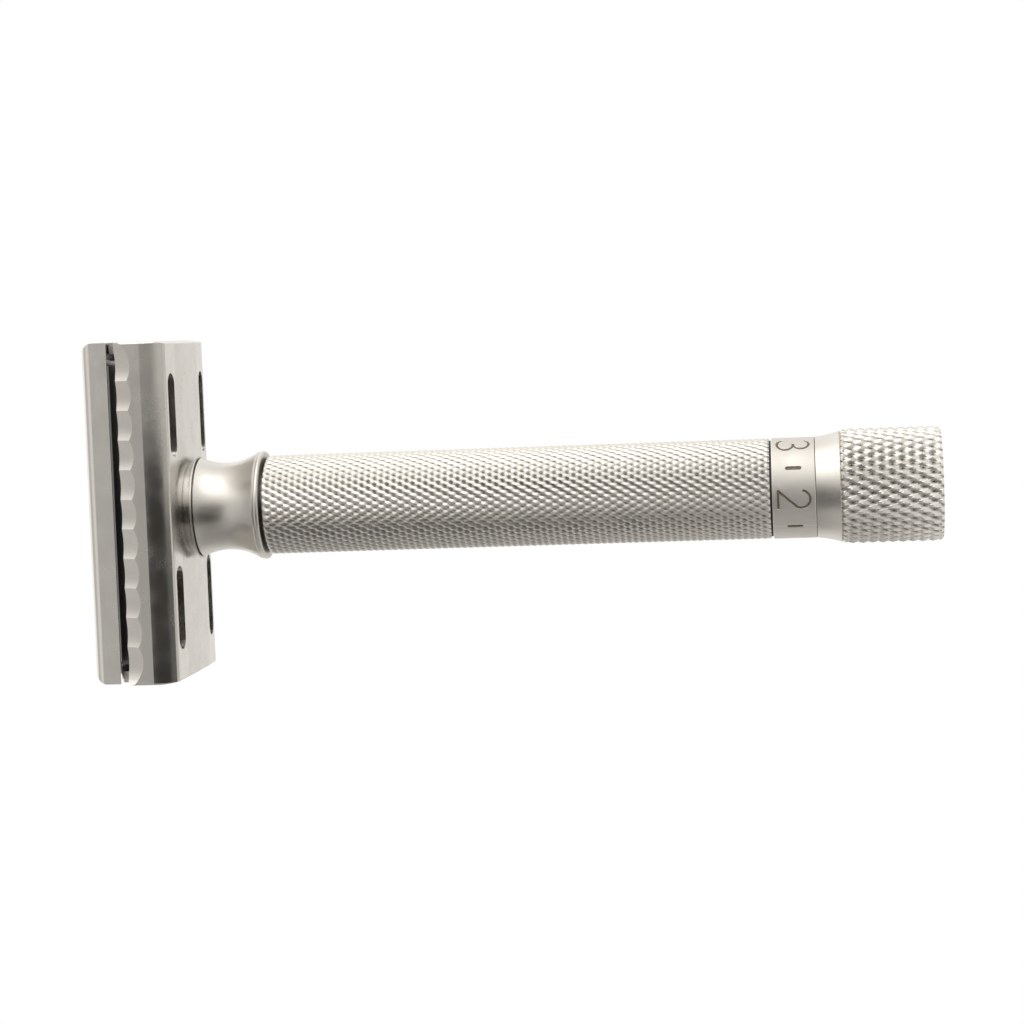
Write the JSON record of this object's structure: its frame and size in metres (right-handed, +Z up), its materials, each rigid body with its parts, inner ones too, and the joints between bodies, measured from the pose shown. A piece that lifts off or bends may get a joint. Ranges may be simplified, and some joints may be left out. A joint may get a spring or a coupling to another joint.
{
  "type": "adjustable double-edge safety razor",
  "caption": "Adjustable double-edge safety razor: knurled handle and knob, numbered dial, waisted neck, scalloped guard plate, bent blade and lift-off arched cap.",
  "frame": {"origin": "centre of the knob's flat end face, on the handle's axis", "axes": "+Z up the handle from the knob to the cap, X along the blade's cutting edges, Y across the blade"},
  "size_m": [0.0434, 0.024, 0.1095],
  "materials": {
    "satin_nickel": "satin nickel plate, faintly warm",
    "knurled_nickel": "satin nickel plate over diamond knurling, dark in the grooves",
    "blade_steel": "dark coated strip steel with ground edges",
    "machined_steel": "bright turned stainless steel",
    "spring_steel": "drawn stainless spring wire",
    "bush_brass": "turned brass",
    "black_nylon": "matt black nylon",
    "seal_rubber": "greased black rubber"
  },
  "bodies": {
    "handle": {"grip_tube": "knurled_nickel", "end_bush": "bush_brass", "thrust_washer": "black_nylon", "neck": "satin_nickel", "base_plate": "satin_nickel", "base_ring_nut": "machined_steel", "spring_seat": "machined_steel", "bed_spring": "spring_steel"},
    "knob": {"knob": "knurled_nickel", "dial_ring": "satin_nickel", "knob_screw": "machined_steel", "knob_end_cap": "satin_nickel", "draw_rod": "machined_steel", "rod_clip": "spring_steel", "rod_o_ring": "seal_rubber"},
    "bed": {"blade_bed": "satin_nickel", "bed_stem": "machined_steel", "bed_guide_pins": "machined_steel"},
    "blade": {"blade": "blade_steel"},
    "cap": {"cap": "satin_nickel", "cap_stud": "machined_steel", "locating_pins": "machined_steel"}
  },
  "joints": [
    {"name": "knob_turn", "type": "hinge", "parent": "handle", "child": "knob", "pos_m": [0, 0, 0.0215], "axis": [0, 0, 1], "range_deg": [-72, 216]},
    {"name": "bed_lift", "type": "slide", "parent": "handle", "child": "bed", "axis": [0, 0, 1], "range_m": [-0.00048, 0.00016], "deforming": ["bed_spring"]},
    {"name": "blade_lift", "type": "slide", "parent": "bed", "child": "blade", "axis": [0, 0, 1], "range_m": [0, 0.012]},
    {"name": "cap_lift", "type": "slide", "parent": "blade", "child": "cap", "axis": [0, 0, 1], "range_m": [0, 0.032]}
  ],
  "couplings": [
    {"joint": "knob_turn", "follows": "bed_lift", "rad_per_m": -7854}
  ]
}
